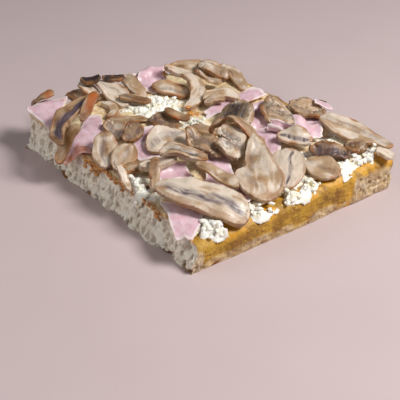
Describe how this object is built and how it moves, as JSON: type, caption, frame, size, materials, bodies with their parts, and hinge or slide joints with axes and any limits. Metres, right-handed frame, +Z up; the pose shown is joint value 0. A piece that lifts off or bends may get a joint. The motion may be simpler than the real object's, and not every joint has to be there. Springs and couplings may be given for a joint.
{
  "type": "prosciutto and mushroom pizza",
  "caption": "Corner piece of thick pan pizza: airy golden bread base, melted mozzarella, folded slices of cooked ham and browned mushroom slices on top.",
  "frame": {"origin": "centre of the bounding box in plan, on the flat underside of the bread", "axes": "+X toward the long golden side that was baked against the pan, -Y toward the long cut face, +Z up"},
  "size_m": [0.1932, 0.1842, 0.047],
  "materials": {
    "bread": "baked bread: pale open crumb on the cut faces, golden brown and smooth on the pan sides",
    "cheese": "melted and crumbled mozzarella, creamy white, slightly glossy",
    "ham": "cooked ham, pale pink, moist",
    "mushroom": "cooked mushroom, cream to tan with grey gills and browned rims, moist"
  },
  "bodies": {
    "root": {"bread": "bread", "cheese": "cheese", "ham_left_corner": "ham", "mushroom_toasted_bit": "mushroom", "ham_left_drape": "ham", "mushroom_wedge_left": "mushroom", "ham_back": "ham", "ham_strip": "ham", "ham_right_fold": "ham", "ham_middle_right": "ham", "ham_behind": "ham", "ham_middle": "ham", "ham_centre": "ham", "ham_front_corner": "ham", "ham_rolled_rim": "ham", "ham_front_right": "ham", "mushroom_dark_curl": "mushroom", "mushroom_spotted": "mushroom", "mushroom_left_stem": "mushroom", "mushroom_left_broad": "mushroom", "mushroom_dark_bit_left": "mushroom", "mushroom_dark_bit_back": "mushroom", "mushroom_ear": "mushroom", "mushroom_arc": "mushroom", "mushroom_thin_long": "mushroom", "mushroom_clump_left": "mushroom", "mushroom_clump_right": "mushroom", "mushroom_front_oval": "mushroom", "mushroom_front_oval_right": "mushroom", "mushroom_olive_wedge": "mushroom", "mushroom_stem_block": "mushroom", "mushroom_upright_stem": "mushroom", "mushroom_shadowed": "mushroom", "mushroom_pale_large": "mushroom", "mushroom_hollow_curl": "mushroom", "mushroom_grey_back": "mushroom", "mushroom_back_top": "mushroom", "mushroom_column": "mushroom", "mushroom_ring": "mushroom", "mushroom_back_small": "mushroom", "mushroom_back_slice": "mushroom", "mushroom_back_edge": "mushroom", "mushroom_fold_left": "mushroom", "mushroom_fold_right": "mushroom", "ham_curl": "ham", "ham_peak": "ham", "mushroom_hood": "mushroom", "mushroom_brown_long": "mushroom", "mushroom_whorl": "mushroom", "mushroom_arch": "mushroom", "mushroom_tan_flat": "mushroom", "mushroom_fan": "mushroom", "mushroom_stemmed": "mushroom", "mushroom_grey_gilled": "mushroom", "mushroom_grey_black": "mushroom", "mushroom_small_round": "mushroom", "mushroom_right_large": "mushroom", "mushroom_shoulder_oval": "mushroom", "mushroom_thin_edged": "mushroom", "mushroom_front_large": "mushroom"}
  },
  "joints": []
}
